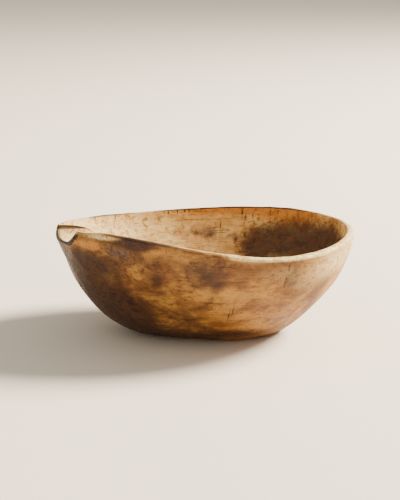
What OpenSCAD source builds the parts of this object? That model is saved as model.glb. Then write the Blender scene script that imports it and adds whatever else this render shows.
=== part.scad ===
// Dug-out wooden bowl with a carved pouring spout.
// Millimetres. The origin is the middle of the rim oval, on the surface that the foot rests on, and
// Z is up. The spout end is towards -X. Angles round the rim start at -X and grow towards -Y.

/* [Rim oval] */
// Length of the rim oval, from the spout end to the heel
bowl_length = 429.6; // [300:0.1:600]
// Width of the rim oval
bowl_width = 343.6; // [240:0.1:500]
// Egg shape of the oval: how much blunter the heel is than the spout end
egg = 0.016; // [0:0.002:0.06]
// How far the rim is drawn in beside the spout, on its far side
tuck = 7; // [0:0.5:10]
// Place of that drawing in round the rim, in degrees
tuck_at = 4.5; // [-10:0.5:10]
// Spread of that drawing in round the rim, in degrees
tuck_spread = 9.5; // [7:0.5:25]

/* [Rim height] */
// Mean height of the rim above the resting surface
rim_height = 146.4; // [110:0.1:220]
// How much higher the heel is than the mean, and the spout end lower
heel_lift = 6.6; // [0:0.1:15]
// Rise of the rim beside the spout
swell = 31; // [0:1:45]
// Place of that rise round the rim, in degrees
swell_at = 38; // [0:1:90]
// Spread of that rise round the rim, in degrees
swell_spread = 51.5; // [30:0.5:70]
// Dip of the rim on the near side, towards the heel
dip = 7.5; // [0:0.5:15]
// Place of that dip round the rim, in degrees
dip_at = 132; // [100:1:170]
// Spread of that dip round the rim, in degrees
dip_spread = 35; // [20:1:60]

/* [Foot] */
// Length of the flat foot
foot_length = 184; // [90:1:260]
// Width of the flat foot
foot_width = 103; // [70:1:200]
// How much broader the foot is towards the heel
foot_egg = 0.077; // [0:0.001:0.15]
// Shift of the foot from the middle of the oval towards the spout end
foot_shift = -14; // [-25:1:20]

/* [Outside curve] */
// Fullness of the belly: a smaller number brings the wall upright sooner
belly_out = 0.69; // [0.5:0.01:1]
// Rise of the belly: a smaller number lifts the curve later
belly_up = 0.56; // [0.5:0.01:1]
// Below zero, the spout end is fuller than the middle and the heel leaner
belly_skew = -0.187; // [-0.25:0.001:0.1]

/* [Wood thickness] */
// Thickness of the wall at the rim
rim_wall = 9.5; // [6:0.5:16]
// Thickness of the floor over the foot
floor_wall = 17; // [8:0.5:30]
// Height of the rounded crown on top of the rim
rim_crown = 2; // [0.5:0.25:4]
// How much lower the rim's outer edge is worn than its inner one
rim_bevel = 2.2; // [0:0.1:4]

/* [Spout] */
// Place of the spout round the rim, in degrees
spout_at = 21.7; // [10:0.1:40]
// How much further round the mouth faces than it stands, in degrees
spout_turn = 10.1; // [-10:0.1:20]
// How far the mouth's plane stands outside the rim oval
spout_reach = -5.5; // [-8:0.5:15]
// How far the tops of the mouth's two arms stand below the rim line there
arm_drop = 1.91; // [0:0.01:10]
// Outside width of the mouth
mouth_width = 71.8; // [45:0.1:90]
// Outside depth of the mouth, from the arms' tops to the underside of the lip
mouth_depth = 22.6; // [12:0.1:30]
// How far the lip stands out in front of the arms' tops
lip_jut = 4.7; // [0:0.1:10]
// Thickness of the lip under the channel
lip_wall = 5.1; // [3:0.1:8]
// Thickness of the near arm
near_arm = 12; // [5:0.5:16]
// Thickness of the far arm at its top
far_arm = 2.5; // [2:0.5:10]
// How much thicker the far arm gets below its top
arm_bulge = 6.5; // [0:0.5:8]
// Length of rim over which the near arm runs into the ordinary rim
near_run = 50; // [25:1:70]
// Length of rim over which the far arm runs into the ordinary rim
far_run = 14; // [10:1:40]
// Depth below the lip over which the spout's flare dies out on the outside
flare_fade = 35; // [15:1:60]
// How far the channel behind the mouth runs in before it turns down into the bowl
shelf = 45; // [10:1:60]
// How far the wood beside that channel runs in before it turns down
ledge = 64; // [10:1:70]

/* [Hidden] */
wood = "#B08A5E";

// Squareness of the mouth's outline: 1 is a straight ramp, 2 a round, and 8 nearly square
far_outside = 8;
far_inside = 4.9;
near_outside = 2.5;
near_inside = 1.8;

// Columns of the skin across the mouth and round the rest of the rim, and rows up each side
mouth_columns = 26;
rim_columns = 96;
outer_rows = 15;
inner_rows = 18;

// How far the foot's prism goes below the resting surface before it is cut flat
foot_stub = 4;
// Curve of the hollow, on the same scale as the belly's
hollow_out = 0.96;
hollow_up = 0.86;
// Where the channel's slope joins the hollow, as a share of the way from the floor's middle to the rim
join = 0.5;
// Drop of the channel where it starts to turn down
shelf_drop = 2.5;
// Lengths of rim over which the channel's slope melts into the hollow, on each side of the spout
far_melt = 45;
near_melt = 30;

mean_r = (bowl_length + bowl_width) / 4;
oval = (bowl_length - bowl_width) / (bowl_length + bowl_width);
face = spout_at + spout_turn;
half_mouth = mouth_width / 2;

function bell(x) = exp(-x * x);
function ease(x) = let (c = max(0, min(1, x))) c * c * (3 - 2 * c);
function mix(a, b, share) = a + (b - a) * share;
function ray(a) = [-cos(a), -sin(a)];
function turn_of(p) = atan2(-p[1], -p[0]);
function wrap(a) = a - 360 * round(a / 360);
function bezier(p, u) = let (v = 1 - u)
    v * v * v * p[0] + 3 * v * v * u * p[1] + 3 * v * u * u * p[2] + u * u * u * p[3];

// Radius of the rim oval, and height of its edge, at angle a
function rim_r(a) = mean_r * (1 + oval * cos(2 * a) + egg * cos(3 * a))
    - tuck * bell(wrap(a - tuck_at) / tuck_spread);
function rim_z(a) = rim_height - heel_lift * cos(a)
    + swell * bell(wrap(a - swell_at) / swell_spread) - dip * bell(wrap(a - dip_at) / dip_spread);
mouth_top = rim_z(spout_at) - arm_drop;
function foot_r(a) = (1 + foot_egg * (cos(3 * a) - cos(a)))
    / norm([cos(a) * 2 / foot_length, sin(a) * 2 / foot_width]);

// Share of the way from foot to rim that a wall has come out when it has risen by the share h
function spread(h, out, up) = pow(1 - pow(1 - pow(h, 1 / up), 2), out / 2);

// A plan point on the outside, at angle a and share h of the rim's height
function outside(a, h) =
    let (out = spread(h, belly_out + belly_skew * cos(a), belly_up))
    mix(foot_r(a), rim_r(a), out) * ray(a) - [foot_shift * (1 - out), 0];

// The mouth is a plane cut through the wall. Its middle, the way along it, the way it faces and its ends
mouth_middle = (rim_r(spout_at) + spout_reach) * ray(spout_at);
along = [sin(face), -cos(face)];
ahead = ray(face);
far_turn = turn_of(mouth_middle - half_mouth * along);
near_turn = turn_of(mouth_middle + half_mouth * along);

// Columns: the first ones cross the mouth, the others go round the rest of the rim
columns = mouth_columns + rim_columns - 1;
function in_mouth(k) = k < mouth_columns;
function mouth_share(k) = sin(-90 + 180 * k / (mouth_columns - 1));
function rim_angle(k) = mix(near_turn, far_turn + 360, (k - mouth_columns + 1) / rim_columns);
function foot_turn(k) =
    in_mouth(k) ? mix(far_turn, near_turn, k / (mouth_columns - 1)) : rim_angle(k);
function on_far_side(k) = in_mouth(k)
    ? mouth_share(k) < 0
    : far_turn + 360 - rim_angle(k) < rim_angle(k) - near_turn;
// Distance along the rim from the nearer arm
function run(k) = in_mouth(k) ? 0
    : let (a = rim_angle(k)) min(a - near_turn, far_turn + 360 - a) * PI / 180 * rim_r(a);

// How far an arm's end stands outside the rim oval, at each arm
function arm_stand(p) = norm(p) - rim_r(turn_of(p));
far_stand = arm_stand(mouth_middle - half_mouth * along);
near_stand = arm_stand(mouth_middle + half_mouth * along);

// A point of the mouth's edge at the share s of the half width, for the drop z below the arms' tops
function mouth_point(s, half, z) =
    let (p = mouth_middle + s * half * along + lip_jut * (1 - pow(1 - z / mouth_depth, 2)) * ahead)
    [p[0], p[1], mouth_top - z];

// Outer edge of column k: [x, y, z]
function outer_edge(k) = in_mouth(k)
    ? let (s = mouth_share(k), low = 1 - pow(abs(s), s < 0 ? far_outside : near_outside))
        mouth_point(s, half_mouth + (s < 0 ? arm_bulge * low : 0), mouth_depth * low)
    : let (a = rim_angle(k), far = on_far_side(k), w = ease(run(k) / (far ? far_run : near_run)),
           p = (rim_r(a) + (far ? far_stand : near_stand) * (1 - w)) * ray(a))
        [p[0], p[1], mix(mouth_top, rim_z(a) - rim_bevel, w)];

// Inner edge of column k. At an arm it lies beside the outer edge, and it swings round behind it
function inner_edge(k) = in_mouth(k)
    ? let (s = mouth_share(k), low = 1 - pow(abs(s), s < 0 ? far_inside : near_inside))
        mouth_point(s, half_mouth - (s < 0 ? far_arm : near_arm), (mouth_depth - lip_wall) * low)
    : let (a = rim_angle(k), far = on_far_side(k), w = ease(run(k) / (far ? far_run : near_run)),
           q = outer_edge(k), swing = 90 * w,
           side = (far ? 1 : -1) * along * cos(swing) - ray(a) * sin(swing),
           p = [q[0], q[1]] + mix(far ? far_arm : near_arm, rim_wall, w) * side)
        [p[0], p[1], q[2] + rim_bevel * w];

// Outside of column k at the share t of its height. The flare dies out below the edge
function outer_point(k, t) =
    let (edge = outer_edge(k), top_turn = turn_of(edge),
         miss = [edge[0], edge[1]] - outside(top_turn, min(1, edge[2] / rim_z(top_turn))),
         a = top_turn + wrap(foot_turn(k) - top_turn) * (1 - ease(t / 0.7)),
         z = edge[2] * pow(1 - cos(90 * t), belly_up),
         fade = pow(max(0, 1 - (edge[2] - z) / flare_fade), 2),
         p = outside(a, min(1, z / rim_z(a))) + miss * fade)
    [p[0], p[1], z];

// The hollow at the share t of the way from the middle of the floor to the rim: reach and height
function hollow(r, top, t) =
    [r * pow(sin(90 * t), hollow_out), mix(floor_wall, top, pow(1 - cos(90 * t), hollow_up))];

// Inside of column k at the share t. Behind the mouth it runs in as a shelf and then turns down
function inner_point(k, t) =
    let (edge = inner_edge(k), top_turn = turn_of(edge), r = norm([edge[0], edge[1]]), top = edge[2],
         wall_r = min(r, rim_r(top_turn) - rim_wall), wall_top = in_mouth(k) ? rim_z(top_turn) : top,
         wall = hollow(wall_r, wall_top, t) + [(r - wall_r) * pow(t, 6), 0],
         low = hollow(wall_r, wall_top, join) + [(r - wall_r) * pow(join, 6), 0],
         floor_share = in_mouth(k) ? ease((mouth_share(k) + 0.9) / 0.6)
             : on_far_side(k) ? 0 : bell(run(k) / 12),
         run_in = min(mix(ledge, shelf, floor_share), 0.9 * (r - low[0])),
         u = min(1, (1 - t) / (1 - join)),
         slope = [bezier([r, r - run_in, low[0] + 5, low[0]], u),
                  bezier([top, top - shelf_drop, mix(low[1], top, 0.86), low[1]], u)],
         weight = t < join ? 0 : bell(run(k) / (on_far_side(k) ? far_melt : near_melt)),
         p = mix(wall, slope, weight),
         a = top_turn + wrap(foot_turn(k) - top_turn) * (1 - ease(t / join)))
    [-cos(a) * p[0], -sin(a) * p[0], p[1]];

// Crown of the rim on column k: points lifted off the line between its edges. It leans out in the mouth
function crown_point(k, share) =
    let (flat = in_mouth(k) ? ease(min(k, mouth_columns - 1 - k) / 2) : 0,
         lift = [ahead[0] * flat, ahead[1] * flat, 1 - flat],
         height = rim_crown * (1 - 0.7 * flat) * min(1, norm(outer_edge(k) - inner_edge(k)) / 6))
    mix(outer_edge(k), inner_edge(k), share) + lift * height;

// One skin: up the outside, with closer rows near the foot, over the crown and down the inside
outer_shares = [for (j = [0 : outer_rows]) pow(j / outer_rows, 1.5)];
inner_shares = [for (j = [inner_rows : -1 : 1]) j / inner_rows];
function column(k) = concat(
    [let (p = outer_point(k, 0)) [p[0], p[1], -foot_stub]],
    [for (t = outer_shares) outer_point(k, t)],
    [crown_point(k, 0.25), crown_point(k, 0.75)],
    [for (t = inner_shares) inner_point(k, t)]);

module bowl() {
    rows = outer_rows + inner_rows + 4;
    skin = [for (k = [0 : columns - 1]) each column(k)];
    floor_middle = len(skin);
    points = concat(skin, [[0, 0, floor_wall]]);
    walls = [for (k = [0 : columns - 1], j = [0 : rows - 2])
        let (n = (k + 1) % columns) [k * rows + j, k * rows + j + 1, n * rows + j + 1, n * rows + j]];
    triangles = [for (q = walls) each [[q[0], q[1], q[2]], [q[0], q[2], q[3]]]];
    foot = [[for (k = [0 : columns - 1]) k * rows]];
    floor = [for (k = [0 : columns - 1])
        [k * rows + rows - 1, floor_middle, ((k + 1) % columns) * rows + rows - 1]];
    color(wood)
    difference() {
        polyhedron(points, concat(triangles, foot, floor));
        translate([-bowl_length, -bowl_width, -2 * foot_stub])
            cube([2 * bowl_length, 2 * bowl_width, 2 * foot_stub]);
    }
}

bowl();
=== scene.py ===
"""A dug-out wooden bowl with a carved pouring spout.

The bowl is one skin, worked out with numpy from a few sizes. Its origin is the middle of the rim oval on
the surface that the foot rests on, Z is up and the spout end is towards -X. Angles round the rim start at
-X and grow towards -Y, the near side. Lengths are in metres.
"""

import math
from types import SimpleNamespace

import bpy
import numpy as np
from bpy.props import FloatProperty, IntProperty, PointerProperty
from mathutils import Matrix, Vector


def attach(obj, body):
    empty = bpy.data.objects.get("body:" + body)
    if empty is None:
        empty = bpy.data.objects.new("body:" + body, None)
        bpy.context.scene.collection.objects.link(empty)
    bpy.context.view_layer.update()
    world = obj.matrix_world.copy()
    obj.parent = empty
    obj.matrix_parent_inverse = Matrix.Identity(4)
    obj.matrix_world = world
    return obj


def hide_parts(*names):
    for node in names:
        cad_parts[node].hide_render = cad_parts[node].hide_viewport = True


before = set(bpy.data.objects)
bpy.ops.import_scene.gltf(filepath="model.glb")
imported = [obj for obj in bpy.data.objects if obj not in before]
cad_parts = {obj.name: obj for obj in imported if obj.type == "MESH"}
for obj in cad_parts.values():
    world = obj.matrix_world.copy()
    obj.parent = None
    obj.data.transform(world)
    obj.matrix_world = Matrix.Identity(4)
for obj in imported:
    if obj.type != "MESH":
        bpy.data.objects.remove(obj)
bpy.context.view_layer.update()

bl_info = {
    "name": "Dug-out Spouted Bowl",
    "version": (1, 0, 0),
    "blender": (4, 5, 0),
    "location": "View3D > Sidebar > Bowl",
    "description": "Builds a hand-carved wooden bowl with a pouring spout, and a plain studio for it",
    "category": "Add Mesh",
}


def linear(hex_colour):
    """The linear red, green and blue of an sRGB hex colour."""
    values = [int(hex_colour[i : i + 2], 16) / 255 for i in (1, 3, 5)]
    return [v / 12.92 if v <= 0.04045 else ((v + 0.055) / 1.055) ** 2.4 for v in values]


def length_size(name, default, description):
    return FloatProperty(name=name, description=description, default=default, unit="LENGTH")


def angle_size(name, degrees, description):
    return FloatProperty(name=name, description=description, default=math.radians(degrees), subtype="ANGLE")


def share_size(name, default, description):
    return FloatProperty(name=name, description=description, default=default)


class BowlSizes(bpy.types.PropertyGroup):
    """The bowl's own sizes, the same as in its drawing"""

    rim_length: length_size("Rim length", 0.4296, "Length of the rim oval")
    rim_width: length_size("Rim width", 0.3436, "Width of the rim oval")
    egg: share_size("Egg", 0.016, "How much blunter the heel is than the spout end")
    rim_height: length_size("Rim height", 0.1464, "Mean height of the rim")
    heel_lift: length_size("Heel lift", 0.0066, "How much higher the heel is than the mean")
    tuck: length_size("Tuck", 0.007, "How far the rim is drawn in beside the spout, on the far side")
    tuck_at: angle_size("Tuck place", 4.5, "Place of that drawing in round the rim")
    tuck_spread: angle_size("Tuck spread", 9.5, "Spread of that drawing in round the rim")
    swell: length_size("Swell", 0.031, "Rise of the rim beside the spout")
    swell_at: angle_size("Swell place", 38, "Place of that rise round the rim")
    swell_spread: angle_size("Swell spread", 51.5, "Spread of that rise round the rim")
    dip: length_size("Dip", 0.0075, "Dip of the rim on the near side")
    dip_at: angle_size("Dip place", 132, "Place of that dip round the rim")
    dip_spread: angle_size("Dip spread", 35, "Spread of that dip round the rim")
    foot_length: length_size("Foot length", 0.184, "Length of the flat foot")
    foot_width: length_size("Foot width", 0.103, "Width of the flat foot")
    foot_egg: share_size("Foot egg", 0.077, "How much broader the foot is towards the heel")
    foot_shift: length_size("Foot shift", -0.014, "Shift of the foot towards the spout end")
    belly_out: share_size("Belly out", 0.69, "A smaller number brings the wall upright sooner")
    belly_up: share_size("Belly up", 0.56, "A smaller number lifts the curve later")
    belly_skew: share_size("Belly skew", -0.187, "Below zero, the spout end is fuller and the heel leaner")
    rim_wall: length_size("Rim wall", 0.0095, "Thickness of the wall at the rim")
    floor_wall: length_size("Floor", 0.017, "Thickness of the floor over the foot")
    rim_crown: length_size("Rim crown", 0.002, "Height of the rounded crown on the rim")
    hollow_out: share_size("Hollow out", 0.96, "As belly out, for the inside")
    hollow_up: share_size("Hollow up", 0.86, "As belly up, for the inside")
    spout_at: angle_size("Spout place", 21.7, "Place of the spout round the rim")
    spout_turn: angle_size("Spout turn", 10.1, "How much further round the mouth faces than it stands")
    spout_reach: length_size("Spout reach", -0.0055, "How far the mouth's middle stands outside the oval")
    arm_drop: length_size("Arm drop", 0.00191, "How far the arms' tops stand below the rim line")
    mouth_width: length_size("Mouth width", 0.0718, "Outside width of the mouth")
    mouth_depth: length_size("Mouth depth", 0.0226, "Outside depth of the mouth")
    arm_wall: length_size("Arm wall", 0.012, "Thickness of the near arm")
    arm_edge: length_size("Arm edge", 0.0025, "Thickness of the far arm at its top")
    arm_bulge: length_size("Arm bulge", 0.0065, "How much thicker the far arm gets below its top")
    lip_jut: length_size("Lip jut", 0.0047, "How far the lip stands out in front of the arms' tops")
    lip_wall: length_size("Lip wall", 0.0051, "Thickness of the lip under the channel")
    arm_run: length_size("Arm run", 0.050, "Length of rim over which the near arm runs into it")
    far_run: length_size("Far run", 0.014, "Length of rim over which the far arm runs into it")
    far_outside: share_size("Far side outside", 8.0, "Squareness of the mouth's outside on its far side")
    far_inside: share_size("Far side inside", 4.9, "Squareness of the mouth's inside on its far side")
    near_outside: share_size("Near side outside", 2.5, "Roundness of the mouth's outside on its near side")
    near_inside: share_size("Near side inside", 1.8, "Roundness of the mouth's inside on its near side")
    flare_fade: length_size("Flare fade", 0.035, "Depth over which the spout's flare dies out")
    shelf: length_size("Shelf", 0.045, "How far the channel behind the mouth runs in nearly level")
    ledge: length_size("Ledge", 0.064, "How far the wood beside that channel runs in nearly level")
    rim_bevel: length_size("Rim bevel", 0.0022, "How much lower the rim's outer edge is than its inner one")


class Carving(bpy.types.PropertyGroup):
    """The marks that the tools and long use left"""

    mouth_columns: IntProperty(name="Mouth columns", description="Grid columns over the mouth", default=96)
    rim_columns: IntProperty(name="Rim columns", description="Grid columns round the rest", default=400)
    outer_rows: IntProperty(name="Outer rows", description="Grid rows up the outside", default=80)
    crown_rows: IntProperty(name="Crown rows", description="Grid rows over the rim", default=9)
    inner_rows: IntProperty(name="Inner rows", description="Grid rows down the inside", default=86)
    facet: length_size("Facet", 0.030, "Size of the worn facets outside")
    facet_depth: length_size("Facet depth", 0.0009, "Depth of the worn facets outside")
    gouge: length_size("Gouge", 0.010, "Width of the gouge marks inside")
    gouge_depth: length_size("Gouge depth", 0.0006, "Depth of the gouge marks inside")
    wander: length_size("Wander", 0.0012, "How far the hand-cut surface wanders")


# --- shape -----------------------------------------------------------------------------------------


def bell(x):
    return np.exp(-x * x)


def ease(x):
    c = np.clip(x, 0, 1)
    return c * c * (3 - 2 * c)


def mix(a, b, share):
    return a + (b - a) * share


def wrap(a):
    return a - 2 * np.pi * np.round(a / (2 * np.pi))


def ray(a):
    """The direction, in plan, at angle a round the rim."""
    return np.stack([-np.cos(a), -np.sin(a)], -1)


def turn_of(p):
    return np.arctan2(-p[..., 1], -p[..., 0])


def rim_r(s, a):
    """Radius of the rim oval: an oval with a third-harmonic egg, drawn in a little beside the spout."""
    oval = (s.rim_length - s.rim_width) / (s.rim_length + s.rim_width)
    r = (s.rim_length + s.rim_width) / 4 * (1 + oval * np.cos(2 * a) + s.egg * np.cos(3 * a))
    return r - s.tuck * bell(wrap(a - s.tuck_at) / s.tuck_spread)


def rim_z(s, a):
    """Height of the rim: a slight tilt, with one swell beside the spout and one dip on the near side."""
    rise = s.swell * bell(wrap(a - s.swell_at) / s.swell_spread)
    fall = s.dip * bell(wrap(a - s.dip_at) / s.dip_spread)
    return s.rim_height - s.heel_lift * np.cos(a) + rise - fall


def mouth_top(s):
    """Height of the tops of the mouth's two arms."""
    return float(rim_z(s, np.array(s.spout_at))) - s.arm_drop


def foot_r(s, a):
    """Radius of the foot: an ellipse, broader towards the heel."""
    ellipse = 0.5 / np.hypot(np.cos(a) / s.foot_length, np.sin(a) / s.foot_width)
    return ellipse * (1 + s.foot_egg * (np.cos(3 * a) - np.cos(a)))


def spread(h, out, up):
    """How far out a wall has come, from 0 to 1, when it has risen by the share h."""
    h = np.clip(h, 0, 1)
    return np.clip(1 - (1 - h ** (1 / up)) ** 2, 0, 1) ** (out / 2)


def outside(s, a, h):
    """Plan points on the outside, at angle a and share h of the rim's height."""
    out = spread(h, s.belly_out + s.belly_skew * np.cos(a), s.belly_up)[..., None]
    r = mix(foot_r(s, a)[..., None], rim_r(s, a)[..., None], out)
    return r * ray(a) - np.array([s.foot_shift, 0]) * (1 - out)


class Mouth:
    """The plane cut that makes the mouth: its middle, the way it faces and the way along it."""

    def __init__(self, s):
        face = s.spout_at + s.spout_turn
        self.ahead = ray(np.array(face))
        self.along = np.array([math.sin(face), -math.cos(face)])
        self.middle = (rim_r(s, s.spout_at) + s.spout_reach) * ray(np.array(s.spout_at))
        ends = [self.middle + side * s.mouth_width / 2 * self.along for side in (-1, 1)]
        self.far, self.near = [float(turn_of(p)) for p in ends]
        self.stand = [float(np.hypot(*p) - rim_r(s, turn_of(p))) for p in ends]


def mouth_shares(s, count):
    """Shares of the half width, -1 at the far arm and 1 at the near one, evenly spaced along the U."""
    fine = np.linspace(-1, 1, 4001)
    power = np.where(fine < 0, s.far_outside, s.near_outside)
    x, z = fine * s.mouth_width / 2, s.mouth_depth * np.abs(fine) ** power
    length = np.concatenate([[0], np.cumsum(np.hypot(np.diff(x), np.diff(z)))])
    return np.interp(np.linspace(0, length[-1], count), length, fine)


def rim_edges(s, m, mouth_columns, rim_columns):
    """Outer and inner edge of every column: first across the mouth, then round the rest of the rim.

    The mouth is a U. Its far side is nearly square and thickens downwards, its near side is round, and
    the lip juts out. Beyond an arm the inner edge swings from beside the outer one to behind it.
    """
    share = mouth_shares(s, mouth_columns)
    far = share < 0
    drop_out = 1 - np.abs(share) ** np.where(far, s.far_outside, s.near_outside)
    drop_in = 1 - np.abs(share) ** np.where(far, s.far_inside, s.near_inside)
    half_out = s.mouth_width / 2 + np.where(far, s.arm_bulge * drop_out, 0)
    half_in = s.mouth_width / 2 - np.where(far, s.arm_edge, s.arm_wall)

    def mouth_edge(half, z):
        low = (z - mouth_top(s) + s.mouth_depth) / s.mouth_depth
        jut = s.lip_jut * (1 - low**2)
        p = m.middle + (share * half)[:, None] * m.along + jut[:, None] * m.ahead
        return np.column_stack([p, z])

    outer = mouth_edge(half_out, mouth_top(s) - s.mouth_depth * drop_out)
    inner = mouth_edge(half_in, mouth_top(s) - (s.mouth_depth - s.lip_wall) * drop_in)

    a = np.linspace(m.near, m.far + 2 * np.pi, rim_columns + 1)[1:-1]
    from_near, from_far = a - m.near, m.far + 2 * np.pi - a
    side = np.where(from_near < from_far, 1, -1)
    run = np.minimum(from_near, from_far) * rim_r(s, a)
    w = ease(run / np.where(side > 0, s.arm_run, s.far_run))
    stand = np.where(side > 0, m.stand[1], m.stand[0]) * (1 - w)
    z = mix(mouth_top(s), rim_z(s, a), w)
    p = (rim_r(s, a) + stand)[:, None] * ray(a)
    swing = np.pi / 2 * w
    back = -side[:, None] * m.along * np.cos(swing)[:, None] - ray(a) * np.sin(swing)[:, None]
    thick = mix(np.where(side > 0, s.arm_wall, s.arm_edge), s.rim_wall, w)
    q = p + thick[:, None] * back

    outer = np.vstack([outer, np.column_stack([p, z - s.rim_bevel * w])])
    inner = np.vstack([inner, np.column_stack([q, z])])
    step = np.arange(mouth_columns)
    flat = ease(np.minimum(step, step[::-1]) / (0.08 * mouth_columns))
    edges = SimpleNamespace(outer=outer, inner=inner)
    edges.flat = np.concatenate([flat, np.zeros(len(a))])
    edges.run = np.concatenate([np.zeros(mouth_columns), run])
    edges.side = np.concatenate([share, side])
    edges.foot_turn = np.concatenate([np.linspace(m.far, m.near, mouth_columns), a])
    return edges


def outer_wall(s, e, t):
    """Outside, from the foot (t = 0) to the edge (t = 1). The spout's flare dies out below the edge."""
    t = t[:, None]
    top_turn = turn_of(e.outer)
    miss = e.outer[:, :2] - outside(s, top_turn, e.outer[:, 2] / rim_z(s, top_turn))
    a = top_turn + wrap(e.foot_turn - top_turn) * (1 - ease(t / 0.7))
    z = e.outer[:, 2] * (1 - np.cos(np.pi / 2 * t)) ** s.belly_up
    fade = np.clip(1 - (e.outer[:, 2] - z) / s.flare_fade, 0, 1) ** 2
    p = outside(s, a, z / rim_z(s, a)) + miss * fade[..., None]
    return np.concatenate([p, z[..., None]], -1)


def bezier(p0, p1, p2, p3, u):
    return (1 - u) ** 3 * p0 + 3 * (1 - u) ** 2 * u * p1 + 3 * (1 - u) * u * u * p2 + u**3 * p3


def inner_wall(s, e, t):
    """Inside, from the middle of the floor (t = 0) to the edge (t = 1).

    Behind the mouth the upper part is a shelf, a Bezier curve that runs in nearly level and then turns
    down. It melts into the ordinary wall on both sides of the spout.
    """
    t = t[:, None]
    top_turn = turn_of(e.inner)
    r, top = np.hypot(e.inner[:, 0], e.inner[:, 1]), e.inner[:, 2]
    wall_r = np.minimum(r, rim_r(s, top_turn) - s.rim_wall)
    wall_top = np.where(e.run > 0, top, rim_z(s, top_turn))

    def wall(u):
        rise = (1 - np.cos(np.pi / 2 * u)) ** s.hollow_up
        reach = wall_r * np.sin(np.pi / 2 * u) ** s.hollow_out + (r - wall_r) * u**6
        return reach, mix(s.floor_wall, wall_top, rise)

    join = 0.50
    reach, z = wall(t)
    low_reach, low_z = wall(join)
    in_channel = bell(e.run / 0.012) * ease((e.side + 0.9) / 0.6)
    run_in = np.minimum(mix(s.ledge, s.shelf, in_channel), 0.9 * (r - low_reach))
    u = np.clip((1 - t) / (1 - join), 0, 1)
    shelf_reach = bezier(r, r - run_in, low_reach + 0.005, low_reach, u)
    shelf_z = bezier(top, top - 0.0025, mix(low_z, top, 0.86), low_z, u)
    weight = bell(e.run / np.where(e.side < 0, 0.045, 0.030)) * (t >= join)
    reach = mix(reach, shelf_reach, weight)
    z = mix(z, shelf_z, weight)
    a = top_turn + wrap(e.foot_turn - top_turn) * (1 - ease(t / join))
    return np.stack([-np.cos(a) * reach, -np.sin(a) * reach, z], -1)


def crown(s, m, e, rows):
    """Over the rim, from the outer edge to the inner one: a low arch that leans out over the mouth."""
    u = np.linspace(0, 1, rows + 2)[1:-1, None]
    lift = np.column_stack([m.ahead * e.flat[:, None], 1 - e.flat])
    height = s.rim_crown * (1 - 0.7 * e.flat)
    arch = (1 - np.abs(2 * u - 1) ** 2.6) * height
    return mix(e.outer, e.inner, u[..., None]) + lift * arch[..., None]


# --- marks of the tools ----------------------------------------------------------------------------


def lattice_noise(p, size, seed):
    """Smooth noise from -1 to 1: random values on a cubic lattice of the given size, blended between."""
    table = np.random.default_rng(seed).uniform(-1, 1, (32, 32, 32))
    q = p / size + 1000
    cell = np.floor(q).astype(int)
    f = q - cell
    f = f * f * (3 - 2 * f)
    total = 0
    for corner in np.ndindex(2, 2, 2):
        i, j, k = [(cell[..., n] + corner[n]) % 32 for n in range(3)]
        share = np.prod([f[..., n] if corner[n] else 1 - f[..., n] for n in range(3)], axis=0)
        total = total + share * table[i, j, k]
    return total


def scallops(u, v, around, size_u, size_v, seed):
    """Hollows left by a blade, 0 at the middle of each and 1 at the ridges, on a jittered grid of cells.

    u runs once round the bowl and v up the wall. Each point looks at its own cell and the eight round it
    and keeps the distance to the nearest cell middle.
    """
    count = max(3, int(round(around / size_u)))
    gu, gv = u / around * count, v / size_v
    jitter = np.random.default_rng(seed).uniform(-0.38, 0.38, (count, 64, 2))
    iu, iv = np.floor(gu).astype(int), np.floor(gv).astype(int)
    nearest = np.full(u.shape, 9.0)
    for du, dv in np.ndindex(3, 3):
        cu, cv = iu + du - 1, iv + dv - 1
        shift = jitter[cu % count, cv % 64]
        gap = (gu - cu - 0.5 - shift[..., 0]) ** 2 + (gv - cv - 0.5 - shift[..., 1]) ** 2
        nearest = np.minimum(nearest, gap)
    return np.clip(nearest / 0.55, 0, 1.4)


# --- the bowl --------------------------------------------------------------------------------------


def bowl_grid(s, c):
    """Every point of the skin as rows x columns x 3, with maps of where each point lies."""
    m = Mouth(s)
    e = rim_edges(s, m, c.mouth_columns, c.rim_columns)
    rise = np.linspace(0, 1, c.outer_rows + 1) ** 1.25
    fall = np.linspace(1, 0, c.inner_rows + 1)[:-1]
    up, over, down = outer_wall(s, e, rise), crown(s, m, e, c.crown_rows), inner_wall(s, e, fall)
    under_share = np.linspace(0, 1, 8)[1:-1, None, None]
    centre = np.array([-s.foot_shift, 0, 0])
    under = mix(centre, up[0], under_share)
    points = np.concatenate([under, up, over, down])

    rows = [len(under), len(up), len(over), len(down)]
    inside = np.repeat([0.0, 0.0, 0.5, 1.0], rows)[:, None] * np.ones(len(e.flat))
    over_rows = np.repeat([0.0, 0.0, 1.0, 0.0], rows)[:, None]
    first = rows[0] + rows[1]
    inside[first : first + rows[2]] = np.linspace(0, 1, rows[2])[:, None]
    edge_z = np.maximum(e.outer[:, 2], e.inner[:, 2])
    top_z = np.where(e.run > 0, edge_z, mouth_top(s))
    maps = {
        "inside": inside,
        "below_rim": edge_z - points[..., 2],
        "below_top": top_z - points[..., 2],
        "near_side": np.broadcast_to(ease((e.side + 1) / 2), inside.shape),
        "crown": over_rows * np.ones(len(e.flat)),
        "behind_far": np.broadcast_to(
            (1 - ease((e.side + 1.0) / 0.16)) * (e.run == 0) * np.ones_like(inside), inside.shape
        ),
        "flat": np.broadcast_to(e.flat, inside.shape),
        "beyond": np.broadcast_to(e.run * np.sign(e.side), inside.shape),
    }
    return points, maps


def grid_normals(points):
    """Outward normals of the skin, from the cross product of its two directions."""
    across = np.roll(points, -1, 1) - np.roll(points, 1, 1)
    along = np.gradient(points, axis=0)
    n = np.cross(across, along)
    return n / np.maximum(np.linalg.norm(n, axis=-1, keepdims=True), 1e-12)


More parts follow.
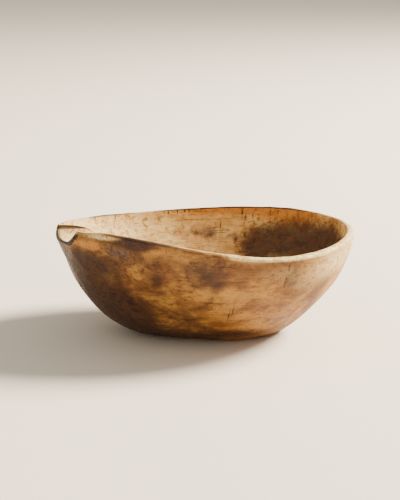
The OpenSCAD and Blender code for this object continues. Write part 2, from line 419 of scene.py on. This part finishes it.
def carve(s, c, points, maps):
    """Moves the skin along its normals: worn facets outside, gouge marks inside and a wandering hand."""
    n = grid_normals(points)
    a = np.arctan2(-points[..., 1], -points[..., 0]) % (2 * np.pi)
    z = points[..., 2]
    r = np.hypot(points[..., 0], points[..., 1])
    around = math.pi * (s.rim_length + s.rim_width) / 2
    u = a / (2 * np.pi) * around
    inside = maps["inside"]
    slope_run = np.hypot(z, 0.7 * (rim_r(s, a) - r))

    sway = 0.02 * lattice_noise(points, 0.05, 4)
    facets = scallops(u + sway, slope_run, around, c.facet, 1.5 * c.facet, 7)
    bend = 0.006 * lattice_noise(points, 0.04, 5)
    walls = scallops(u, slope_run + bend, around, 3.2 * c.gouge, c.gouge, 9)
    floor = scallops(points[..., 0] + 1, points[..., 1] + 1 + bend, 2, 3.2 * c.gouge, c.gouge, 11)
    gouges = mix(floor, walls, ease((r / rim_r(s, a) - 0.45) / 0.25))
    wander = lattice_noise(points, 0.085, 1) + 0.45 * lattice_noise(points, 0.038, 2)
    calm = ease(r / 0.06) * ease(z / 0.010 + inside * 2)
    outside_cut = (facets - 0.5) * c.facet_depth * (1 - inside)
    inside_cut = (0.5 - gouges) * -c.gouge_depth * inside
    shift = (outside_cut + inside_cut + c.wander * (wander - 0.35)) * calm

    # The near shoulder of the spout: a bulge under the rim, and the crease that runs away below it
    run = np.abs(maps["beyond"])
    crease = 0.020 + 0.34 * run
    depth = maps["below_top"] / crease
    strength = 0.0036 * maps["near_side"] * (1 - ease(run / 0.085)) * (1 - inside) * (1 - maps["crown"])
    shift += strength * (bell((depth - 0.5) / 0.33) - 0.55 * bell((depth - 1.15) / 0.24))
    return points + n * shift[..., None]


# A millimetre, and how deep a check or worm hole reaches into the wood
MM = 0.001
MARK_DEPTH = 0.006
# Stains, painted light and painted shade by kind, each one: inside (1) or outside (0), degrees round the
# rim, height in mm, the spread of both, and the strength
STAINS_AND_PAINTED_LIGHT = {
    "dark": [
        (0, -5, 80, 28, 66, 1.00),  # hand patina over the spout end, partly painted shade on the side turned from the light
        (0, 24, 62, 26, 66, 1.00),
        (0, 46, 52, 20, 44, 0.80),
        (0, 32, 124, 17, 19, 0.85),
        (0, 57, 163, 13, 11, 1.00),  # soaked wood under the near rim
        (0, 66, 112, 5, 30, 0.55),  # a run of old oil
        (0, 78, 52, 13, 24, 0.60),
        (0, 89, 132, 13, 22, 0.62),
        (0, 86, 108, 10, 20, 0.50),
        (0, 52, 138, 11, 16, 0.42),
        (0, 96, 104, 5, 22, 0.40),
        (0, 92, 78, 16, 12, 0.38),
        (0, 76, 86, 7, 18, 0.36),
        (0, 101, 60, 5, 6, 0.45),
        (0, 128.5, 114, 3.6, 14, 0.85),  # beside the checks
        (0, 122.5, 143, 2.6, 7, 0.60),
        (0, 120, 22, 30, 14, 0.50),
        (0, 70, 14, 40, 13, 0.75),
        (0, 200, 70, 40, 60, 0.45),
        (0, 290, 60, 40, 50, 0.60),
        (1, 222, 104, 22, 36, 0.85),  # the darker heel end of the hollow: stains, and painted shade on the inner wall turned from the light
        (1, 238, 92, 14, 32, 0.75),
        (1, 200, 112, 16, 32, 0.80),
        (1, 180, 90, 26, 50, 0.75),
        (1, 140, 90, 26, 45, 0.55),
    ],
    "pale": [
        (0, 150, 126, 18, 28, 0.72),  # scrubbed wood at the heel, partly painted light on the side facing the light
        (0, 137, 100, 13, 26, 0.32),
        (0, 118, 122, 14, 22, 0.36),
        (0, 112, 148, 11, 7, 0.90),
        (0, 168, 136, 14, 26, 0.70),
        (0, 42, 168, 12, 5, 0.95),  # painted highlight on the near shoulder of the spout
        (1, 315, 128, 26, 30, 0.80),  # painted light on the inner wall behind the spout, where the light falls
        (1, 345, 140, 22, 22, 0.80),
        (1, 20, 150, 20, 20, 0.70),
        (1, 290, 112, 14, 12, 0.35),
    ],
    "amber": [
        (1, 262, 146, 30, 11, 0.95),  # oiled band under the far rim
        (1, 300, 152, 20, 6, 0.65),
        (1, 228, 138, 26, 16, 0.75),
        (1, 222, 148, 15, 8, 0.80),
        (1, 355, 162, 10, 5, 0.60),
        (1, 200, 116, 2.2, 3.0, 1.00),  # a small knot
        (0, 36, 154, 10, 9, 0.95),  # painted highlight on the golden flank of the spout
        (0, 68, 154, 7, 6, 0.70),
        (0, 99, 95, 4.5, 2.6, 0.75),
        (0, 160, 88, 9, 30, 0.95),
        (0, 130, 60, 20, 18, 0.35),
        (0, 170, 118, 8, 16, 0.50),
    ],
    "grey": [
        (1, 268, 108, 9, 15, 0.60),  # mildewed patch in the middle of the hollow
        (1, 254, 102, 6, 10, 0.50),
        (1, 282, 112, 9, 9, 0.40),
        (0, 50, 148, 8, 13, 0.75),
        (0, 104, 122, 5, 12, 0.35),
        (0, 150, 138, 18, 10, 0.30),
    ],
}
# Checks and worm holes: inside or outside, degrees round the rim, height, length and width in mm, and lean
MARKS = [
    (0, 126, 133, 2.6, 1.5, 6),
    (0, 126, 128, 2.4, 1.3, -8),
    (0, 125.5, 115, 2.8, 1.4, 5),
    (0, 125.4, 110, 2.2, 1.2, 0),
    (0, 125.4, 105, 3.2, 1.2, 0),
    (0, 101, 58, 5, 1.0, 50),
    (0, 103, 66, 4, 0.9, 60),
    (0, 166, 131, 9, 0.9, 0),
    (1, 250.5, 140, 6, 1.6, 28),
    (1, 248.6, 133, 4, 1.2, 20),
    (1, 245, 136, 4, 1.0, -24),
    (1, 236, 143, 5, 1.0, 8),
    (1, 232, 144, 3, 1.0, -8),
    (1, 291, 141, 4, 1.1, 0),
    (1, 286, 142, 3.4, 1.0, 0),
    (1, 282, 143, 4, 1.3, 0),
    (1, 279.5, 142.5, 3, 1.0, 0),
    (1, 330, 145, 6, 1.1, 25),
    (1, 319, 141, 5, 0.9, -30),
    (1, 262, 118, 3, 1.0, 50),
    (1, 248, 106, 3, 1.4, 0),
]


def stain_and_light_maps(s, points, maps):
    """Adds a map for each kind of spot, real stains and painted light and shade alike: soft spots laid over
    each other, and what clings to the rim.
    """
    a = np.degrees(np.arctan2(-points[..., 1], -points[..., 0]))
    z = points[..., 2] / MM
    inside = maps["inside"]
    for kind, spots in STAINS_AND_PAINTED_LIGHT.items():
        clear = 1.0
        for side, turn, height, turn_spread, height_spread, strength in spots:
            off = (a - turn + 180) % 360 - 180
            spot = strength * bell(off / turn_spread) * bell((z - height) / height_spread)
            clear = clear * (1 - np.clip(spot * (inside if side else 1 - inside), 0, 1))
        maps[kind] = 1 - clear
    turn = a % 360
    wall = inside >= 1
    rim_line, cut_edge, bar_height = 0.0028, 0.0030, 0.0078
    on_rim = np.maximum(maps["crown"], wall * (1 - ease(maps["below_rim"] / rim_line)))
    far_line = np.maximum(bell((turn - 258) / 44), 0.62 * bell((turn - 322) / 30)) * (turn > 180)
    soaked = bell((turn - 62) / 15)
    worn = ease((turn - 92) / 12) * (1 - ease((turn - 205) / 18))
    handled = on_rim * np.maximum(far_line, soaked) * 1.2
    maps["dark"] = np.maximum(maps["dark"] * (1 - on_rim * worn), handled)
    near_top = bell((maps["below_rim"] - 0.001) / 0.0045)
    maps["pale"] = np.maximum(
        maps["pale"] * (1 - on_rim * np.clip(far_line + soaked, 0, 1)),
        worn * np.maximum(maps["crown"], near_top * (inside < 0.5)) * 1.2,
    )
    # The cut through the mouth, and a darker band along the top of its far side
    bar = ease((bar_height - maps["below_top"]) / 0.0016) * maps["behind_far"] * wall
    maps["dark"] = np.maximum(maps["dark"], bar)
    maps["pale"] = maps["pale"] * (1 - bar)
    lip = (inside < 0.5) * (1 - ease(maps["below_rim"] / cut_edge))
    maps["blackened"] = np.maximum(maps["crown"], lip) * maps["flat"]
    return maps


def bowl_object(s, c):
    """The bowl as one closed mesh, with its maps as point attributes."""
    points, maps = bowl_grid(s, c)
    points = carve(s, c, points, maps)
    maps = stain_and_light_maps(s, points, maps)
    rows, columns = points.shape[:2]
    index = np.arange(rows * columns).reshape(rows, columns)
    after = np.roll(index, -1, 1)
    quads = np.stack([index[:-1], after[:-1], after[1:], index[1:]], -1).reshape(-1, 4)
    bottom, floor = rows * columns, rows * columns + 1
    low_fan = np.stack([after[0], index[0], np.full(columns, bottom)], -1)
    high_fan = np.stack([index[-1], after[-1], np.full(columns, floor)], -1)
    ends = np.array([[-s.foot_shift, 0, 0], [0, 0, points[-1, :, 2].mean() - 0.00005]])
    vertices = np.vstack([points.reshape(-1, 3), ends])
    mesh = bpy.data.meshes.new("carved_bowl")
    mesh.from_pydata(vertices.tolist(), [], quads.tolist() + low_fan.tolist() + high_fan.tolist())
    mesh.polygons.foreach_set("use_smooth", np.ones(len(mesh.polygons), bool))
    for name, values in maps.items():
        layer = mesh.attributes.new(name, "FLOAT", "POINT")
        ends_value = [0.0, 1.0] if name == "inside" else [0.0, 0.0]
        layer.data.foreach_set("value", np.concatenate([values.ravel(), ends_value]).astype(np.float32))
    mesh.validate()
    mesh.update()
    piece = bpy.data.objects.new("carved_bowl", mesh)
    bpy.context.scene.collection.objects.link(piece)
    return piece


# --- wood ------------------------------------------------------------------------------------------


# The tones of the wood before the oil that deepens them
TONES = {
    "honey": "#C4A064",  # raw wood outside
    "tan": "#987246",
    "cream": "#F0DCAC",  # raw wood inside
    "straw": "#DCBC88",
    "streak": "#8C6440",
    # amber oil, also the painted highlight on the spout's flank
    "amber": "#D4A868",
    "mildew": "#93807A",
    "patina_and_shade": "#483228",  # hand patina, also painted shade
    "umber": "#7C5A44",
    "scrubbed_and_lit": "#F2E4BE",  # scrubbed wood, also painted light
    "scrubbed_gold_and_lit": "#E2C68E",
    "blotch": "#A48C70",
    "fibre": "#98806A",
    "crazing": "#907A66",
    "check_edge": "#5A341A",
    "check": "#1C0E06",
    "lip": "#4A2A16",  # the blackened cut
}
OIL_DEPTH = 1.6


def add_node(tree, kind, links=None, **settings):
    """Adds a shader node. links maps an input to a socket or a value; settings are the node's own."""
    n = tree.nodes.new(kind)
    for key, value in settings.items():
        setattr(n, key, value)
    for key, value in (links or {}).items():
        if isinstance(value, bpy.types.NodeSocket):
            tree.links.new(value, n.inputs[key])
        else:
            n.inputs[key].default_value = value
    return n


def blend(tree, share, a, b, mode="MIX"):
    """Mixes the colour b into a. Either colour is a socket or four numbers."""
    mixed = add_node(tree, "ShaderNodeMix", data_type="RGBA", blend_type=mode)
    for key, value in ((0, share), (6, a), (7, b)):
        if isinstance(value, bpy.types.NodeSocket):
            tree.links.new(value, mixed.inputs[key])
        else:
            mixed.inputs[key].default_value = value
    return mixed.outputs[2]


def step_up(tree, value, low, high, out_low=0.0, out_high=1.0):
    """A smooth step of value from low to high."""
    n = add_node(
        tree,
        "ShaderNodeMapRange",
        {"Value": value, "From Min": low, "From Max": high, "To Min": out_low, "To Max": out_high},
        interpolation_type="SMOOTHSTEP",
    )
    return n.outputs[0]


def math_node(tree, operation, *values):
    n = add_node(tree, "ShaderNodeMath", dict(enumerate(values)), operation=operation)
    return n.outputs[0]


def grain(tree, place, cell, detail=4.0, roughness=0.55, warp=0.0):
    """Noise whose cells have the size of the vector cell, in metres."""
    scaled = add_node(
        tree, "ShaderNodeMapping", {"Vector": place, "Scale": [1 / c for c in cell]}, vector_type="POINT"
    )
    noise = {"Vector": scaled.outputs[0], "Scale": 1.0, "Detail": detail}
    noise |= {"Roughness": roughness, "Distortion": warp}
    return add_node(tree, "ShaderNodeTexNoise", noise).outputs["Fac"]


def marks_on_wood(tree, place, s):
    """The smallest scaled distance to any check or worm hole: below 1 inside one."""
    nearest = None
    for side, turn, height, length, width, lean in MARKS:
        a = math.radians(turn)
        z, top = height * MM, rim_z(s, a)
        if side:
            rise = np.clip((z - s.floor_wall) / (top - s.floor_wall), 0, 1) ** (1 / s.hollow_up)
            r = (rim_r(s, a) - s.rim_wall) * math.sin(math.acos(1 - rise)) ** s.hollow_out
            centre = [-r * math.cos(a), -r * math.sin(a)]
        else:
            centre = outside(s, np.array(a), np.array(z / top))
        spot = add_node(
            tree,
            "ShaderNodeMapping",
            {
                "Vector": place,
                "Location": (float(centre[0]), float(centre[1]), z),
                "Rotation": (0, math.radians(lean), a),
                "Scale": (MARK_DEPTH, width / 2 * MM, length / 2 * MM),
            },
            vector_type="TEXTURE",
        )
        length_node = add_node(tree, "ShaderNodeVectorMath", {0: spot.outputs[0]}, operation="LENGTH")
        gap = length_node.outputs["Value"]
        nearest = gap if nearest is None else math_node(tree, "MINIMUM", nearest, gap)
    return nearest


def patinated_wood(s):
    """Old oiled hardwood: pale scrubbed wood and painted light, brown hand patina and painted shade, amber
    oil and a painted highlight, and grey stains, with a grain that runs along the bowl, fine drying checks
    and a mouth blackened along its cut."""
    material = bpy.data.materials.new("patinated_wood")
    material.use_nodes = True
    tree = material.node_tree
    tree.nodes.clear()
    place = add_node(tree, "ShaderNodeTexCoord").outputs["Object"]

    def own(name):
        return add_node(tree, "ShaderNodeAttribute", attribute_name=name).outputs["Fac"]

    def tone(name):
        return (*linear(TONES[name]), 1)

    inside = own("inside")
    cloud = grain(tree, place, (0.050, 0.035, 0.035), detail=6, roughness=0.62, warp=0.4)
    mottle = grain(tree, place, (0.011, 0.008, 0.009), detail=6, roughness=0.68, warp=0.6)
    fibre = grain(tree, place, (0.050, 0.0028, 0.0028), detail=5, roughness=0.6, warp=0.3)
    streak = grain(tree, place, (0.090, 0.010, 0.007), detail=4, roughness=0.6, warp=0.5)
    crazing = grain(tree, place, (0.0016, 0.0016, 0.024), detail=4, roughness=0.65)
    ragged = math_node(tree, "MULTIPLY_ADD", mottle, 0.75, -0.375)

    def stain_and_light_mask(name, low=0.30, high=0.72):
        value = math_node(tree, "ADD", own(name), ragged)
        clouded = math_node(tree, "MULTIPLY_ADD", cloud, 0.5, -0.25)
        return step_up(tree, math_node(tree, "ADD", value, clouded), low, high)

    # Raw wood, outside and inside
    outer = blend(tree, step_up(tree, cloud, 0.38, 0.64), tone("honey"), tone("tan"))
    inner = blend(tree, step_up(tree, cloud, 0.40, 0.66), tone("cream"), tone("straw"))
    wood = blend(tree, step_up(tree, inside, 0.45, 0.55), outer, inner)
    wood = blend(tree, step_up(tree, streak, 0.50, 0.70, 0.0, 0.40), wood, tone("streak"))
    # Amber oil, and the painted highlight on the spout's flank
    wood = blend(tree, stain_and_light_mask("amber", 0.25, 0.80), wood, tone("amber"))
    wood = blend(tree, stain_and_light_mask("grey", 0.25, 0.85), wood, tone("mildew"))
    # Brown hand patina, and painted shade on the parts turned from the light
    brown = blend(tree, step_up(tree, mottle, 0.40, 0.62), tone("patina_and_shade"), tone("umber"))
    wood = blend(tree, math_node(tree, "MULTIPLY", stain_and_light_mask("dark", 0.22, 0.80), 0.88), wood, brown)
    # Scrubbed wood, and painted light on the parts facing the light
    scrubbed_and_lit = blend(tree, step_up(tree, mottle, 0.42, 0.62), tone("scrubbed_and_lit"), tone("scrubbed_gold_and_lit"))
    wood = blend(tree, math_node(tree, "MULTIPLY", stain_and_light_mask("pale", 0.25, 0.80), 0.92), wood, scrubbed_and_lit)
    # Blotches, grain and crazing
    wood = blend(tree, step_up(tree, mottle, 0.50, 0.72, 0.0, 0.55), wood, tone("blotch"), "MULTIPLY")
    wood = blend(tree, step_up(tree, fibre, 0.52, 0.70, 0.0, 0.55), wood, tone("fibre"), "MULTIPLY")
    wood = blend(tree, step_up(tree, crazing, 0.56, 0.68, 0.0, 0.30), wood, tone("crazing"), "MULTIPLY")
    # Blackened cut, checks and worm holes
    blackened = step_up(tree, math_node(tree, "MULTIPLY_ADD", mottle, 0.3, own("blackened")), 0.45, 0.72)
    wood = blend(tree, blackened, wood, tone("lip"))
    nearest = math_node(tree, "MULTIPLY_ADD", mottle, 0.7, marks_on_wood(tree, place, s))
    opened = step_up(tree, nearest, 1.05, 1.55, 1.0, 0.0)
    around = step_up(tree, nearest, 1.2, 4.5, 0.35, 0.0)
    wood = blend(tree, around, wood, tone("check_edge"))
    wood = blend(tree, opened, wood, tone("check"))

    # Oil deepens every tone
    wood = add_node(tree, "ShaderNodeGamma", {"Color": wood, "Gamma": OIL_DEPTH}).outputs[0]

    grooves, swells = math_node(tree, "MULTIPLY", fibre, -0.9), math_node(tree, "MULTIPLY", mottle, 0.8)
    relief = math_node(tree, "ADD", grooves, swells)
    relief = math_node(tree, "MULTIPLY_ADD", crazing, -0.6, relief)
    relief = math_node(tree, "MULTIPLY_ADD", opened, -1.8, relief)
    bump = add_node(tree, "ShaderNodeBump", {"Strength": 0.55, "Distance": 0.0009, "Height": relief})
    shader = add_node(
        tree,
        "ShaderNodeBsdfPrincipled",
        {
            "Base Color": wood,
            "Roughness": step_up(tree, mottle, 0.35, 0.68, 0.40, 0.62),
            "Normal": bump.outputs[0],
            "Specular IOR Level": 0.24,
            "Coat Weight": 0.04,
            "Coat Roughness": 0.35,
        },
    )
    add_node(tree, "ShaderNodeOutputMaterial", {"Surface": shader.outputs[0]})
    return material


# --- stage -----------------------------------------------------------------------------------------


class StageSizes(bpy.types.PropertyGroup):
    """The studio round the bowl"""

    distance: length_size("Camera distance", 1.8, "From the camera to the point that it looks at")
    elevation: angle_size("Camera elevation", 13, "How far the camera looks down")
    look_height: length_size("Look height", 0.14, "Height of the point that the camera looks at")
    lens: FloatProperty(name="Lens", description="Focal length in millimetres", default=89.7)
    floor_half: length_size("Floor half", 16, "Half the side of the square floor")
    light_size: length_size("Light size", 2.4, "Width of the round soft light")
    light_power: FloatProperty(name="Light power", description="Power of the light in watts", default=2000)


def area_light(name, place, target, size, power, colour):
    """A round soft light at place, turned towards target."""
    light = bpy.data.lights.new(name, "AREA")
    light.shape = "DISK"
    light.size = size
    light.energy = power
    light.color = linear(colour)
    holder = bpy.data.objects.new(name, light)
    holder.location = place
    holder.rotation_euler = (Vector(target) - Vector(place)).to_track_quat("-Z", "Y").to_euler()
    bpy.context.scene.collection.objects.link(holder)


def studio(p):
    """The camera, a pale floor, a pale sky and one large window light from the right."""
    camera = bpy.data.cameras.new("camera")
    camera.lens = p.lens
    camera.shift_x = -0.0124
    camera.shift_y = -0.0294
    camera.clip_end = 20
    holder = bpy.data.objects.new("camera", camera)
    back = p.distance * math.cos(p.elevation)
    holder.location = (0, -back, p.look_height + p.distance * math.sin(p.elevation))
    holder.rotation_euler = (math.pi / 2 - p.elevation, 0, 0)
    bpy.context.scene.collection.objects.link(holder)
    bpy.context.scene.camera = holder

    floor_mesh = bpy.data.meshes.new("floor")
    h = p.floor_half
    floor_mesh.from_pydata([(-h, -h, 0), (h, -h, 0), (h, h, 0), (-h, h, 0)], [], [(0, 1, 2, 3)])
    floor = bpy.data.objects.new("floor", floor_mesh)
    bpy.context.scene.collection.objects.link(floor)
    paint = bpy.data.materials.new("pale_floor")
    paint.use_nodes = True
    shader = paint.node_tree.nodes["Principled BSDF"]
    shader.inputs["Base Color"].default_value = (*linear("#EFE4D2"), 1)
    shader.inputs["Roughness"].default_value = 0.8
    floor_mesh.materials.append(paint)

    world = bpy.data.worlds.new("studio_air")
    world.use_nodes = True
    sky = world.node_tree.nodes["Background"]
    sky.inputs["Color"].default_value = (*linear("#F4EEE4"), 1)
    sky.inputs["Strength"].default_value = 0.80
    bpy.context.scene.world = world
    window, bowl_middle = (4.6, 1.8, 3.8), (0, 0, 0.1)
    area_light("window", window, bowl_middle, p.light_size, p.light_power, "#FFF4E4")


# --- operators -------------------------------------------------------------------------------------


class BOWL_OT_carve(bpy.types.Operator):
    """Builds the bowl's skin and its wood, in place of the plain solid"""

    bl_idname = "bowl.carve"
    bl_label = "Carve the Bowl"

    def execute(self, context):
        piece = bowl_object(context.scene.bowl_sizes, context.scene.bowl_carving)
        piece.data.materials.append(patinated_wood(context.scene.bowl_sizes))
        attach(piece, "root")
        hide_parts("bowl")
        return {"FINISHED"}


class BOWL_OT_stage(bpy.types.Operator):
    """Sets the camera, the pale floor and the soft light"""

    bl_idname = "bowl.stage"
    bl_label = "Set the Stage"

    def execute(self, context):
        studio(context.scene.bowl_stage)
        return {"FINISHED"}


class BOWL_PT_sidebar(bpy.types.Panel):
    """Lists the steps in the order that they are run"""

    bl_label = "Dug-out Bowl"
    bl_idname = "BOWL_PT_sidebar"
    bl_space_type = "VIEW_3D"
    bl_region_type = "UI"
    bl_category = "Bowl"

    def draw(self, context):
        self.layout.operator(BOWL_OT_stage.bl_idname)
        self.layout.operator(BOWL_OT_carve.bl_idname)


CLASSES = (BowlSizes, Carving, StageSizes, BOWL_OT_carve, BOWL_OT_stage, BOWL_PT_sidebar)


def register():
    for cls in CLASSES:
        bpy.utils.register_class(cls)
    bpy.types.Scene.bowl_sizes = PointerProperty(type=BowlSizes)
    bpy.types.Scene.bowl_carving = PointerProperty(type=Carving)
    bpy.types.Scene.bowl_stage = PointerProperty(type=StageSizes)


def unregister():
    del bpy.types.Scene.bowl_stage
    del bpy.types.Scene.bowl_carving
    del bpy.types.Scene.bowl_sizes
    for cls in reversed(CLASSES):
        bpy.utils.unregister_class(cls)


def main():
    register()
    bpy.ops.bowl.stage()
    bpy.ops.bowl.carve()


if __name__ == "__main__":
    main()
